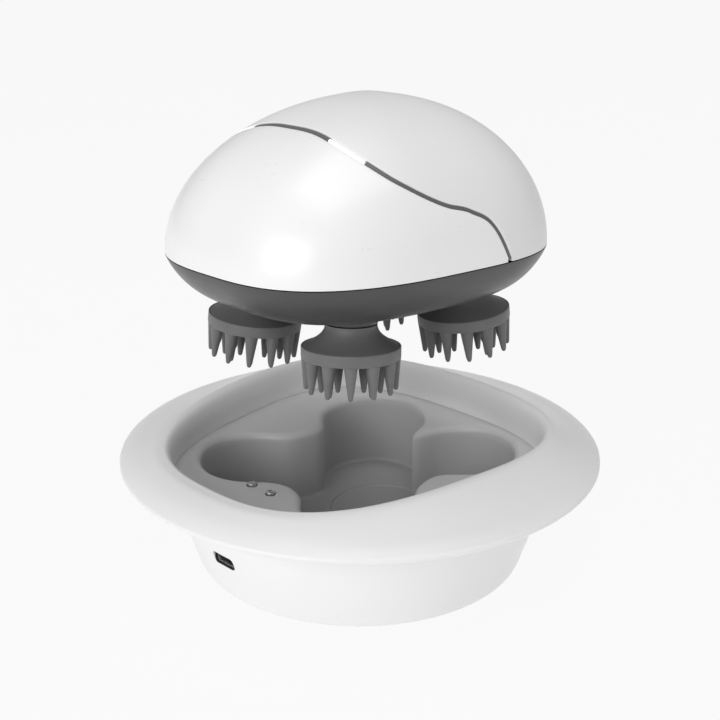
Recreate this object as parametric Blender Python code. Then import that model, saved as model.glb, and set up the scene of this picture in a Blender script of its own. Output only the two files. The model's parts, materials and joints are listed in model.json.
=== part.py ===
"""Cordless scalp massager hovering above its round charging dock.

Units are metres and Z is up. The origin is the middle of the dock's underside. The massager's nose
and the dock's charging socket face -Y. Shell outlines are polar: every shape is a stack of rings,
one point per direction, so neighbouring pieces share the same outline formulas.
"""

import math

import bmesh
import bpy
import numpy as np
from mathutils import Matrix, Vector

MM = 0.001
GAP = 0.3 * MM

# Plan outline shared by the massager and the recess of the dock: a squarish egg, wider at the back
PLAN_LENGTH = 51.7 * MM
PLAN_WIDTH = 47.1 * MM
PLAN_TAPER = 0.17
PLAN_POWER = 2.95
PLAN_CENTRE_Y = -5.8 * MM

# Massager, measured from the parting plane between its covers and its lower housing
DOCKED_HEIGHT = 47.05 * MM
LIFT = 55.25 * MM
DOME_HEIGHT = 41.8 * MM
APEX_SHIFT = 4.5 * MM
BELLY_DEPTH = 15.6 * MM
BELLY_POWER = 6.5
HOUSING_WALL = 1.5 * MM
WALL = 2.2 * MM
LIP = 0.15 * MM

# Inlay strip across the covers: angle from the nose in degrees, height in millimetres
SEAM_KNOTS = (
    (0, 35.8), (27, 34.2), (44, 29.7), (58, 24.4), (77, 17.7), (87, 15.3), (96, 10.0), (101.5, 0.6))
STRIP_WIDTH = 1.7 * MM
KEY_START, KEY_END = 27.0, 44.5
KEY_THICKNESS = 1.6 * MM

# Brush heads: four on the corners of a rectangle, fingers splayed outward
HEAD_X = 20.5 * MM
HEAD_Y = 24.1 * MM
HEAD_TILT = math.radians(6.0)
PAD_BELOW_PARTING = 23.7 * MM
PAD_RADIUS = 14.1 * MM
PAD_HEIGHT = 2.65 * MM
OUTER_FINGERS, INNER_FINGERS, CENTRE_FINGERS = 12, 8, 4
OUTER_FINGER_LENGTH = 9.5 * MM
INNER_FINGER_LENGTH = 10.5 * MM
FINGER_ROOT = 1.6 * MM
FINGER_TIP = 0.75 * MM
HUB_FLANGE = 0.9 * MM
HUB_TOP_RADIUS = 7.4 * MM
HUB_HEIGHT = 7.0 * MM
BOSS_RADIUS = 7.6 * MM
SPINDLE_RADIUS = 2.8 * MM

# Gear train
MODULE = 1.5 * MM
CENTRE_TEETH, HEAD_TEETH, PINION_TEETH = 24, 16, 10
GEAR_FACE = 3.0 * MM
BACKLASH = 0.6 * MM
HEAD_GEAR_HEIGHT = 15.25 * MM

# Dock
RIM_RADIUS = 74.6 * MM
SIDE_CREST = 1.6 * MM
NOSE_CREST_DROP = 3.0 * MM
RECESS_MARGIN = 1.2 * MM
SHELL_TOP_RADIUS = 61.6 * MM
SHELL_TOP = 31.3 * MM
TRAY_HEIGHT = 31.0 * MM
LEDGE_HEIGHT = 32.6 * MM
TRAY_WALL = 1.3 * MM
FLOOR_HEIGHT = 6.8 * MM
LOBE_RADIUS = 17.2 * MM
FRONT_LOBE = (23.2 * MM, -23.4 * MM)
BACK_LOBE = (19.4 * MM, 26.2 * MM)
HUB_WELL_RADIUS = 26.2 * MM
HUB_WELL_Y = -3.3 * MM
FLOOR_DISC = (-4.0 * MM, 13.8 * MM)
FLOOR_DISC_RADIUS = 16.7 * MM
LOBE_BLEND = 8.0 * MM
PIN_X = (-8.2 * MM, 0.2 * MM)
PIN_Y = -37.8 * MM
SOCKET_HEIGHT = 15.8 * MM
SCREW_X, SCREW_Y = 22.0 * MM, 26.0 * MM

SHELL_STEPS = 48
TURNED_STEPS = 40

PI = math.pi


# ---------------------------------------------------------------- scene and materials

def clear_scene():
    for item in list(bpy.data.objects):
        bpy.data.objects.remove(item, do_unlink=True)


def material(name, colour, roughness, metallic=0.0):
    made = bpy.data.materials.new(name)
    made.use_nodes = True
    shader = made.node_tree.nodes["Principled BSDF"]
    shader.inputs["Base Color"].default_value = (*colour, 1.0)
    shader.inputs["Roughness"].default_value = roughness
    shader.inputs["Metallic"].default_value = metallic
    made.diffuse_color = (*colour, 1.0)
    return made


def make_materials():
    return {
        "gloss_white": material("gloss_white", (0.86, 0.86, 0.86), 0.18),
        "matt_white": material("matt_white", (0.80, 0.80, 0.80), 0.45),
        "dock_white": material("dock_white", (0.84, 0.84, 0.84), 0.35),
        "tray_grey": material("tray_grey", (0.50, 0.50, 0.50), 0.45),
        "dark_grey": material("dark_grey", (0.075, 0.075, 0.08), 0.4),
        "strip_grey": material("strip_grey", (0.12, 0.12, 0.12), 0.35),
        "hub_grey": material("hub_grey", (0.10, 0.10, 0.10), 0.4),
        "silicone": material("silicone", (0.12, 0.12, 0.12), 0.6),
        "gear_nylon": material("gear_nylon", (0.75, 0.74, 0.70), 0.4),
        "steel": material("steel", (0.62, 0.62, 0.63), 0.3, 1.0),
        "brass": material("brass", (0.78, 0.60, 0.28), 0.25, 1.0),
        "board_green": material("board_green", (0.04, 0.22, 0.10), 0.5),
        "battery_blue": material("battery_blue", (0.10, 0.22, 0.45), 0.5),
        "black_plastic": material("black_plastic", (0.02, 0.02, 0.02), 0.4),
        "rubber": material("rubber", (0.05, 0.05, 0.05), 0.8),
        "light_bar": material("light_bar", (0.92, 0.92, 0.92), 0.3),
    }


def frame(name, location, rotation=None, parent=None):
    """An empty whose axes are those of the pieces parented to it."""
    empty = bpy.data.objects.new(name, None)
    bpy.context.scene.collection.objects.link(empty)
    empty.empty_display_size = 10 * MM
    empty.parent = parent
    empty.matrix_local = Matrix.Translation(Vector(location)) @ (rotation or Matrix.Identity(4))
    return empty


def add_object(name, mesh, surface, parent=None, location=(0, 0, 0)):
    item = bpy.data.objects.new(name, mesh)
    bpy.context.scene.collection.objects.link(item)
    item.parent = parent
    item.location = location
    if surface is not None:
        mesh.materials.clear()
        mesh.materials.append(surface)
    return item


def mesh_from(name, shape):
    """Turns a bmesh into a mesh with outward faces and smooth shading."""
    bmesh.ops.recalc_face_normals(shape, faces=shape.faces)
    mesh = bpy.data.meshes.new(name)
    shape.to_mesh(mesh)
    shape.free()
    mesh.shade_smooth()
    mesh.set_sharp_from_angle(angle=math.radians(35))
    return mesh


def cut(item, cutter, operation="DIFFERENCE"):
    cutter.hide_render = True
    cutter.display_type = "WIRE"
    change = item.modifiers.new(cutter.name, "BOOLEAN")
    change.operation = operation
    change.solver = "EXACT"
    change.object = cutter


# ---------------------------------------------------------------- ring-stack shapes

def join_rings(shape, lower, upper):
    count = len(lower)
    for i in range(count):
        j = (i + 1) % count
        shape.faces.new((lower[i], lower[j], upper[j], upper[i]))


def stacked(name, rings, closed=False):
    """A solid from rings of points; closed joins the last ring to the first, else both ends are capped."""
    shape = bmesh.new()
    loops = [[shape.verts.new(point) for point in ring] for ring in rings]
    for lower, upper in zip(loops, loops[1:]):
        join_rings(shape, lower, upper)
    if closed:
        join_rings(shape, loops[-1], loops[0])
    else:
        shape.faces.new(loops[0])
        shape.faces.new(loops[-1])
    return mesh_from(name, shape)


def turned(name, profile, steps=TURNED_STEPS, closed=True):
    """A profile of (radius, height) points turned round Z."""
    angles = np.arange(steps) * 2 * PI / steps
    rings = [[(r * math.cos(a), r * math.sin(a), z) for a in angles] for r, z in profile]
    return stacked(name, rings, closed)


def sheet(name, outer, inner, wraps=False):
    """A curved plate between two grids of points; wraps joins its last column to its first."""
    shape = bmesh.new()
    skins = [[[shape.verts.new(p) for p in column] for column in grid] for grid in (outer, inner)]
    columns, rows = len(outer), len(outer[0])
    spans = [(i, (i + 1) % columns) for i in range(columns if wraps else columns - 1)]
    for i, j in spans:
        for k in range(rows - 1):
            for skin in skins:
                shape.faces.new((skin[i][k], skin[j][k], skin[j][k + 1], skin[i][k + 1]))
        edge_rows = (0,) if wraps else (0, rows - 1)
        for k in edge_rows:
            shape.faces.new((skins[0][i][k], skins[0][j][k], skins[1][j][k], skins[1][i][k]))
    if wraps:
        for skin in skins:
            shape.faces.new([column[-1] for column in skin])
    else:
        for i in (0, columns - 1):
            for k in range(rows - 1):
                shape.faces.new((skins[0][i][k], skins[0][i][k + 1], skins[1][i][k + 1], skins[1][i][k]))
    return mesh_from(name, shape)


def bar(name, size, centre):
    shape = bmesh.new()
    bmesh.ops.create_cube(shape, size=1.0)
    bmesh.ops.scale(shape, vec=size, verts=shape.verts)
    bmesh.ops.translate(shape, vec=centre, verts=shape.verts)
    return mesh_from(name, shape)


def rod(name, radius, low, high, steps=16, centres=((0, 0),)):
    """Upright cylinders from low to high, one at each centre."""
    shape = bmesh.new()
    for x, y in centres:
        place = Matrix.Translation((x, y, (low + high) / 2))
        bmesh.ops.create_cone(
            shape, cap_ends=True, segments=steps, radius1=radius, radius2=radius,
            depth=high - low, matrix=place)
    return mesh_from(name, shape)


# ---------------------------------------------------------------- outline formulas

def plan_share(x, y):
    """How far out a point lies: 1 on the plan outline, 0 in the middle."""
    along = (y - PLAN_CENTRE_Y) / PLAN_LENGTH
    across = x / (PLAN_WIDTH * (1 + PLAN_TAPER * np.clip(along, -1, 1)))
    return (np.abs(along) ** PLAN_POWER + np.abs(across) ** PLAN_POWER) ** (1 / PLAN_POWER)


def reach(angles, inside, limit):
    """The outermost distance from the Z axis, for each angle, at which inside(x, y) still holds."""
    angles = np.asarray(angles, float)
    steps = np.linspace(limit, 0, 240)
    far = np.zeros_like(angles)
    found = np.zeros(angles.shape, bool)
    for step in steps:
        here = inside(step * np.cos(angles), step * np.sin(angles)) & ~found
        far = np.where(here, step, far)
        found |= here
    low, high = far, far + steps[0] - steps[1]
    for _ in range(30):
        middle = (low + high) / 2
        held = inside(middle * np.cos(angles), middle * np.sin(angles))
        low, high = np.where(held, middle, low), np.where(held, high, middle)
    return low


def plan_reach(angles):
    return reach(angles, lambda x, y: plan_share(x, y) < 1, 80 * MM)


def blend(first, second, width):
    """Smooth minimum of two distances."""
    mix = np.clip(0.5 + 0.5 * (second - first) / width, 0, 1)
    return second + (first - second) * mix - width * mix * (1 - mix)


def well_distance(x, y):
    """Signed distance, roughly, to the four-lobed outline of the well; negative inside it."""
    nearest = np.minimum(
        np.hypot(np.abs(x) - FRONT_LOBE[0], y - FRONT_LOBE[1]),
        np.hypot(np.abs(x) - BACK_LOBE[0], y - BACK_LOBE[1]))
    hub = np.hypot(x, y - HUB_WELL_Y) - HUB_WELL_RADIUS
    return blend(nearest - LOBE_RADIUS, hub, LOBE_BLEND)


def well_reach(angles, outward=0.0):
    return reach(angles, lambda x, y: well_distance(x, y) < outward, 80 * MM)


def ring_at(angles, radii, heights):
    heights = np.broadcast_to(heights, angles.shape)
    return list(zip(radii * np.cos(angles), radii * np.sin(angles), heights))


def around(steps=SHELL_STEPS):
    return np.arange(steps) * 2 * PI / steps


# ---------------------------------------------------------------- massager covers

def dome_point(angle, rise, inset=0.0):
    """A point of the dome in a direction, at a share of its height, moved inward by inset."""
    far = (plan_reach(angle) - inset) * np.sqrt(1 - rise ** 2)
    height = LIP + (DOME_HEIGHT - LIP - inset) * rise
    return np.stack([far * np.cos(angle), far * np.sin(angle) + APEX_SHIFT * rise ** 2, height], -1)


def seam_rise(degrees):
    """Share of the dome's height at which the inlay runs, by an angle either side of the nose."""
    away = np.abs(degrees)
    knots = np.array(SEAM_KNOTS, float)
    slopes = np.gradient(knots[:, 1], knots[:, 0])
    slopes[0] = 0
    place = np.clip(np.searchsorted(knots[:, 0], away, side="right") - 1, 0, len(knots) - 2)
    start, end = knots[place], knots[place + 1]
    width = end[:, 0] - start[:, 0]
    t = (away - start[:, 0]) / width
    height = (
        (2 * t ** 3 - 3 * t ** 2 + 1) * start[:, 1]
        + (t ** 3 - 2 * t ** 2 + t) * width * slopes[place]
        + (3 * t ** 2 - 2 * t ** 3) * end[:, 1]
        + (t ** 3 - t ** 2) * width * slopes[place + 1]
    )
    return height * MM / DOME_HEIGHT


def seam_edge(degrees, sideways):
    """Direction and rise of a line beside the inlay's middle; positive sideways is up the dome."""
    degrees = np.asarray(degrees, float)

    def middle(at):
        return dome_point(np.radians(at - 90), seam_rise(at))

    points = middle(degrees)
    along = middle(degrees + 0.2) - middle(degrees - 0.2)
    outward = points - np.array([0, APEX_SHIFT / 2, 0])
    outward[:, 2] *= 1.2
    across = np.cross(outward, along)
    across /= np.linalg.norm(across, axis=1)[:, None]
    moved = points + across * sideways
    rise = (moved[:, 2] - LIP) / (DOME_HEIGHT - LIP)
    angle = np.unwrap(np.arctan2(moved[:, 1] - APEX_SHIFT * rise ** 2, moved[:, 0]))
    return angle, rise


def dome_grids(lower, upper, rows, inset=WALL):
    """Outer and inner grids between two edges, each given as (angles, rises)."""
    grids = []
    for depth in (0, inset):
        mixed = []
        for share in np.linspace(0, 1, rows):
            turn = np.arctan2(np.sin(upper[0] - lower[0]), np.cos(upper[0] - lower[0]))
            mixed.append(dome_point(lower[0] + turn * share, lower[1] + (upper[1] - lower[1]) * share, depth))
        grids.append(np.array(mixed).transpose(1, 0, 2).tolist())
    return grids


def seam_stations(start, end):
    """Angles along the inlay between two limits, closer together where it turns down to the parting line."""
    last = SEAM_KNOTS[-1][0]
    turning = 78
    steep = last - (last - turning) * np.linspace(1, 0, 13)[1:] ** 2
    half = np.concatenate([np.linspace(0, turning, 14), steep])
    every = np.concatenate([-half[:0:-1], half])
    inside = every[(every > start + 0.05) & (every < end - 0.05)]
    return np.concatenate([[start], inside, [end]])


def make_front_cover(materials, body):
    last = SEAM_KNOTS[-1][0]
    angle, rise = seam_edge(seam_stations(-last, last), -(STRIP_WIDTH + GAP) / 2)
    kept = rise > 0.018
    angle, rise = angle[kept], rise[kept]
    outer, inner = dome_grids((angle, np.zeros_like(rise)), (angle, rise), 6)
    add_object("front_cover", sheet("front_cover", outer, inner), materials["gloss_white"], body)


def make_rear_cover(materials, body):
    last = SEAM_KNOTS[-1][0]
    angle, rise = seam_edge(seam_stations(-last, last), (STRIP_WIDTH + GAP) / 2)
    kept = rise > 0.004
    angle, rise = angle[kept], rise[kept]
    corner = 0.006
    back = np.linspace(angle[-1] + corner, angle[0] + 2 * PI - corner, 23)
    angle = np.concatenate([angle, back])
    rise = np.concatenate([rise, np.zeros_like(back)])
    outer, inner = [], []
    for share in (0, 0.17, 0.36, 0.56, 0.76, 0.92):
        # the rows slide from the cover's lower edge up to a small ring about the apex
        at = np.sin(np.arcsin(rise) * (1 - share) + PI / 2 * share)
        outer.append(dome_point(angle, at))
        inner.append(dome_point(angle, at, WALL))
    outer = np.array(outer).transpose(1, 0, 2).tolist()
    inner = np.array(inner).transpose(1, 0, 2).tolist()
    add_object("rear_cover", sheet("rear_cover", outer, inner, wraps=True), materials["matt_white"], body)


def make_strip(name, start, end, surface, body, inset=WALL):
    half = (STRIP_WIDTH - GAP) / 2
    stations = seam_stations(start, end)
    outer, inner = dome_grids(seam_edge(stations, -half), seam_edge(stations, half), 2, inset)
    return add_object(name, sheet(name, outer, inner), surface, body)


def make_strips(materials, body):
    """The inlay in five lengths: middle, two keys, and one down each flank."""
    clearance = 0.45
    last = SEAM_KNOTS[-1][0] - 0.1
    grey = materials["strip_grey"]
    make_strip("trim_strip_middle", -KEY_START + clearance, KEY_START - clearance, grey, body)
    make_strip("trim_strip_left", -last, -KEY_END - clearance, grey, body)
    make_strip("trim_strip_right", KEY_END + clearance, last, grey, body)
    for name, side in (("mode_key", -1), ("power_key", 1)):
        ends = sorted((side * (KEY_START + clearance / 2), side * (KEY_END - clearance / 2)))
        middle = side * (KEY_START + KEY_END) / 2
        centre = Vector(dome_point(*seam_edge([middle], 0.0))[0])
        holder = frame(f"{name}_frame", centre, None, body)
        key = make_strip(name, *ends, materials["light_bar"], holder, inset=KEY_THICKNESS)
        key.location = -centre


# ---------------------------------------------------------------- massager lower housing and inside

def belly_ring(angles, share, inset=0.0):
    depth = (BELLY_DEPTH - inset) * (1 - share ** BELLY_POWER) ** 0.87
    return ring_at(angles, (plan_reach(angles) - inset) * share, -LIP - depth)


def head_places():
    """Name, heading and position of each brush head about the middle."""
    places = []
    corners = (("front_left", -1, -1), ("front_right", 1, -1), ("back_left", -1, 1), ("back_right", 1, 1))
    for name, x, y in corners:
        spot = Vector((x * HEAD_X, y * HEAD_Y, -PAD_BELOW_PARTING))
        places.append((name, math.atan2(spot.y, spot.x), spot))
    return places


def head_matrix(heading, spot):
    """A head's own frame: local +X points away from the middle and the fingers lean outward."""
    return Matrix.Translation(spot) @ Matrix.Rotation(heading, 4, "Z") @ Matrix.Rotation(-HEAD_TILT, 4, "Y")


def tilted_rods(name, radius, low, high, steps=20):
    shape = bmesh.new()
    for _, heading, spot in head_places():
        place = head_matrix(heading, spot) @ Matrix.Translation((0, 0, (low + high) / 2))
        bmesh.ops.create_cone(
            shape, cap_ends=True, segments=steps, radius1=radius, radius2=radius,
            depth=high - low, matrix=place)
    return mesh_from(name, shape)


def contact_places():
    return [(x, PIN_Y) for x in PIN_X]


def make_lower_housing(materials, body):
    angles = around()
    shares = (1.0, 0.98, 0.94, 0.88, 0.80, 0.62)
    outer = [belly_ring(angles, share) for share in shares]
    inner = [belly_ring(angles, share, HOUSING_WALL) for share in reversed(shares[:-1])]
    rings = [ring_at(angles, plan_reach(angles) * 0.3, -LIP - BELLY_DEPTH)]
    rings += list(reversed(outer)) + list(reversed(inner))
    rings.append(ring_at(angles, plan_reach(angles) * 0.3, -LIP - BELLY_DEPTH + HOUSING_WALL))
    housing = add_object("lower_housing", stacked("lower_housing", rings), materials["dark_grey"], body)
    bosses = add_object("boss_union", tilted_rods("boss_union", BOSS_RADIUS, 7.3 * MM, 10.6 * MM), None, body)
    cut(housing, bosses, "UNION")
    bores = add_object("bush_bores", tilted_rods("bush_bores", 5.9 * MM, 5 * MM, 17 * MM), None, body)
    cut(housing, bores)
    wells = rod("contact_holes", 2.6 * MM, -20 * MM, -10 * MM, 20, contact_places())
    cut(housing, add_object("contact_holes", wells, None, body))


def make_joint_ring(materials, body):
    """Locating ring inside the parting line, bridging the covers and the lower housing."""
    angles = around(40)
    rings = []
    for inset, height in ((3.2, -1.8), (2.9, 0.0), (2.9, 3.0), (4.6, 3.0), (4.6, -1.8)):
        rings.append(ring_at(angles, plan_reach(angles) - inset * MM, height * MM))
    add_object("joint_ring", stacked("joint_ring", rings, closed=True), materials["black_plastic"], body)


def make_gearbox_plate(materials, body):
    angles = around(40)
    radii = plan_reach(angles) - 5.3 * MM
    rings = [ring_at(angles, radii, height * MM) for height in (-4.4, -2.6)]
    plate = add_object("gearbox_plate", stacked("gearbox_plate", rings), materials["black_plastic"], body)
    shaft_hole = rod("shaft_hole", 2.2 * MM, -6 * MM, -1 * MM, 16, ((pinion_distance(), 0),))
    cut(plate, add_object("shaft_hole", shaft_hole, None, body))


def make_plate_posts(materials, body):
    floor = -11.6 * MM
    flank = -7.6 * MM
    spots = (
        ("front", 0, -31, floor), ("back", 0, 29, floor),
        ("left", -31, 0, floor), ("right", 39.5, 0, flank))
    for name, x, y, low in spots:
        mesh = rod(name, 2.2 * MM, low, -4.4 * MM - GAP)
        add_object(f"plate_post_{name}", mesh, materials["steel"], body, (x * MM, y * MM, 0))


def make_electrics(materials, body):
    add_object("battery", bar("battery", (34 * MM, 48 * MM, 14 * MM), (0, 0, 0)), materials["battery_blue"],
               body, (-8 * MM, 4 * MM, 4.7 * MM))
    add_object("drive_motor", turned("drive_motor", ((10 * MM, 20 * MM), (10 * MM, -2.2 * MM)), 28, False),
               materials["steel"], body, (pinion_distance(), 0, 0))
    add_object("circuit_board", bar("circuit_board", (48 * MM, 47 * MM, 1.6 * MM), (0, 0, 0)),
               materials["board_green"], body, (0, -3.5 * MM, 25.2 * MM))
    for name, x in (("mode", -19), ("power", 19)):
        add_object(f"{name}_switch", bar(f"{name}_switch", (5 * MM, 5 * MM, 3 * MM), (0, 0, 0)),
                   materials["black_plastic"], body, (x * MM, -23 * MM, 27.8 * MM))
    for number, (x, y) in enumerate(contact_places(), 1):
        mesh = rod("charge_contact", 2.3 * MM, -14.8 * MM, -12.7 * MM, 20)
        add_object(f"charge_contact_{number}", mesh, materials["steel"], body, (x, y, 0))


# ---------------------------------------------------------------- gears

def pinion_distance():
    return (CENTRE_TEETH + PINION_TEETH) * MODULE / 2


def gear(name, teeth, low, high, bore, phase):
    """A spur gear with straight-flanked teeth; phase turns one tooth's middle to that angle."""
    pitch = teeth * MODULE / 2
    tip, root = pitch + 0.8 * MODULE, pitch - 1.2 * MODULE
    thickness = PI * MODULE / 2 - BACKLASH
    tip_half = (thickness / 2 - 0.32 * MODULE) / tip
    root_half = (thickness / 2 + 0.40 * MODULE) / root
    outline = []
    for tooth in range(teeth):
        middle = phase + tooth * 2 * PI / teeth
        for radius, turn in ((root, -root_half), (tip, -tip_half), (tip, tip_half), (root, root_half)):
            outline.append((radius, middle + turn))
    shape = bmesh.new()
    levels = []
    for height in (low, high):
        rim = [shape.verts.new((r * math.cos(a), r * math.sin(a), height)) for r, a in outline]
        spacing = 2 * PI / teeth
        hole = []
        if bore:
            turns = [phase + (tooth - 0.5) * spacing for tooth in range(teeth)]
            hole = [shape.verts.new((bore * math.cos(a), bore * math.sin(a), height)) for a in turns]
        levels.append((rim, hole))
        if not bore:
            shape.faces.new(rim)
        for tooth in range(teeth if bore else 0):
            after = (tooth + 1) % teeth
            shape.faces.new(rim[4 * tooth:4 * tooth + 4] + [rim[4 * after], hole[after], hole[tooth]])
    join_rings(shape, levels[0][0], levels[1][0])
    if bore:
        join_rings(shape, levels[0][1], levels[1][1])
    return mesh_from(name, shape)


def centre_gear_height():
    """Middle of the centre gear, level with where the tilted head gears reach it."""
    head_pitch = HEAD_TEETH * MODULE / 2
    return -PAD_BELOW_PARTING + HEAD_GEAR_HEIGHT * math.cos(HEAD_TILT) - head_pitch * math.sin(HEAD_TILT)


def make_drive(materials, body):
    middle = centre_gear_height()
    low, high = middle - GEAR_FACE / 2, middle + GEAR_FACE / 2
    axle = rod("centre_axle", 2.4 * MM, -LIP - BELLY_DEPTH + HOUSING_WALL + GAP, -4.4 * MM - GAP, 20)
    add_object("centre_axle", axle, materials["steel"], body)
    add_object("centre_gear", gear("centre_gear", CENTRE_TEETH, low, high, 2.7 * MM, 0.0),
               materials["gear_nylon"], body)
    spacing = 2 * PI / PINION_TEETH
    pinion = gear("motor_pinion", PINION_TEETH, low, high, 0, PI + spacing / 2)
    pinion_item = add_object("motor_pinion", pinion, materials["brass"], body, (pinion_distance(), 0, 0))
    shaft = rod("pinion_shaft", 1.5 * MM, high - 1 * MM, -2.6 * MM, 16)
    cut(pinion_item, add_object("pinion_shaft", shaft, None, body, (pinion_distance(), 0, 0)), "UNION")


# ---------------------------------------------------------------- brush heads

def finger_places():
    """Position, length and lean of each finger of a pad."""
    places = []
    for count, share, length in (
            (OUTER_FINGERS, 0.886, OUTER_FINGER_LENGTH),
            (INNER_FINGERS, 0.59, INNER_FINGER_LENGTH),
            (CENTRE_FINGERS, 0.26, INNER_FINGER_LENGTH)):
        for i in range(count):
            turn = 2 * PI * (i + (0.5 if count == CENTRE_FINGERS else 0.0)) / count
            places.append((Vector((math.cos(turn), math.sin(turn), 0)) * share * PAD_RADIUS, length))
    return places


def fingers_mesh():
    shape = bmesh.new()
    sunk = 1.0 * MM
    for spot, length in finger_places():
        top = -PAD_HEIGHT + sunk
        bottom = -PAD_HEIGHT - length
        outward = spot.normalized() * 0.5 * MM if spot.length > 0.7 * PAD_RADIUS else Vector((0, 0, 0))
        rings = ((FINGER_ROOT, top, Vector((0, 0, 0))), (FINGER_TIP, bottom, outward))
        loops = []
        for radius, height, shift in rings:
            centre = spot + shift
            loops.append([
                shape.verts.new((centre.x + radius * math.cos(a), centre.y + radius * math.sin(a), height))
                for a in around(5)])
        for lower, upper in zip(loops, loops[1:]):
            join_rings(shape, lower, upper)
        shape.faces.new(loops[0])
        shape.faces.new(loops[-1])
    return mesh_from("finger_cluster", shape)


def pad_mesh():
    """The round pad with its fingers as one body, in the head's own frame."""
    profile = ((PAD_RADIUS - 0.4 * MM, 0), (PAD_RADIUS, -0.5 * MM), (PAD_RADIUS, -PAD_HEIGHT))
    pad = add_object("pad_blank", turned("pad_blank", profile, 24, False), None)
    fingers = add_object("finger_cluster", fingers_mesh(), None)
    cut(pad, fingers, "UNION")
    bpy.context.view_layer.update()
    seen = pad.evaluated_get(bpy.context.evaluated_depsgraph_get())
    mesh = bpy.data.meshes.new_from_object(seen)
    mesh.name = "brush_pad"
    for item in (pad, fingers):
        bpy.data.objects.remove(item, do_unlink=True)
    return mesh


def hub_profile():
    """Flared hub: a flange over the pad, a concave flank, and a blind bore from above."""
    bore = SPINDLE_RADIUS + 0.25 * MM
    edge = PAD_RADIUS - 0.1 * MM
    flank = []
    for share in (0, 0.07, 0.17, 0.32, 0.55, 1):
        height = HUB_FLANGE + (HUB_HEIGHT - HUB_FLANGE) * share
        radius = HUB_TOP_RADIUS + (edge - HUB_TOP_RADIUS) * (1 - share) ** 2.2
        flank.append((radius, height))
    return [(edge, GAP)] + flank + [(bore, HUB_HEIGHT), (bore, 2.0 * MM)]


def make_heads(materials, body):
    pad = pad_mesh()
    pad.materials.clear()
    pad.materials.append(materials["silicone"])
    hub = turned("head_hub", hub_profile(), 24, False)
    spindle = rod("head_spindle", SPINDLE_RADIUS, 2.3 * MM, 18.0 * MM, 16)
    bush = turned("spindle_bush", ((5.6 * MM, 12.4 * MM), (5.6 * MM, 7.5 * MM), (3.1 * MM, 7.5 * MM),
                                   (3.1 * MM, 12.4 * MM)), 16)
    head_pitch = 2 * PI / HEAD_TEETH
    centre_pitch = 2 * PI / CENTRE_TEETH
    for name, heading, spot in head_places():
        holder = frame(f"head_frame_{name}", (0, 0, 0), head_matrix(heading, spot), body)
        # every pad stands the same way round, whatever its head's heading
        add_object(f"brush_pad_{name}", pad, None, holder).rotation_euler.z = -heading
        add_object(f"head_hub_{name}", hub, materials["hub_grey"], holder)
        add_object(f"head_spindle_{name}", spindle, materials["steel"], holder)
        add_object(f"spindle_bush_{name}", bush, materials["brass"], holder)
        # where the centre gear's nearest tooth sits beside the line of centres, in its own tooth pitch
        offset = (heading / centre_pitch - round(heading / centre_pitch)) * head_pitch
        low = HEAD_GEAR_HEIGHT - GEAR_FACE / 2
        mesh = gear(f"head_gear_{name}", HEAD_TEETH, low, low + GEAR_FACE, 3.05 * MM,
                    PI + head_pitch / 2 + offset)
        add_object(f"head_gear_{name}", mesh, materials["gear_nylon"], holder)


# ---------------------------------------------------------------- dock

def make_collar(materials):
    """The thick rolled rim: from the egg-shaped recess out to a circle, hollow underneath."""
    angles = around(52)
    inner = plan_reach(angles) + RECESS_MARGIN
    span = RIM_RADIUS - inner
    # the crest beside the recess is lowest at the nose
    lift = SIDE_CREST - NOSE_CREST_DROP * np.clip(-np.sin(angles), 0, 1) ** 2
    rings = [ring_at(angles, inner, 33.0 * MM), ring_at(angles, inner, 37.4 * MM)]
    for share, height, lifted in (
            (0.02, 39.4, 0.4), (0.06, 41.0, 0.8), (0.12, 41.8, 1.0), (0.2, 41.7, 1.0), (0.32, 41.0, 0.6),
            (0.5, 39.6, 0.25), (0.68, 38.2, 0), (0.84, 36.9, 0), (0.94, 35.9, 0), (0.99, 35.3, 0),
            (1.0, 34.7, 0)):
        rings.append(ring_at(angles, inner + span * share, height * MM + lift * lifted))
    underside = ((74.1, 33.9), (72.4, 33.0), (69.0, 32.3), (62.1, 31.6), (62.1, 33.2), (69.0, 34.2))
    for radius, height in underside:
        rings.append(ring_at(angles, np.full_like(inner, radius * MM), height * MM))
    rings.append(ring_at(angles, inner + span * 0.55, 37.2 * MM))
    rings.append(ring_at(angles, inner + 3.0 * MM, 38.2 * MM))
    rings.append(ring_at(angles, inner + 1.8 * MM, 33.0 * MM))
    add_object("dock_collar", stacked("dock_collar", rings, closed=True), materials["dock_white"])


def tray_top(x, y):
    """Height of the tray: nearly flat, then sloping up to the ledge under the collar."""
    share = plan_share(x, y)
    return np.interp(share, (0.80, 0.90, 0.985), (TRAY_HEIGHT, 31.4 * MM, LEDGE_HEIGHT))


def tray_ring(angles, radii, below=0.0):
    heights = tray_top(radii * np.cos(angles), radii * np.sin(angles)) - below
    return ring_at(angles, radii, heights)


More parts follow.
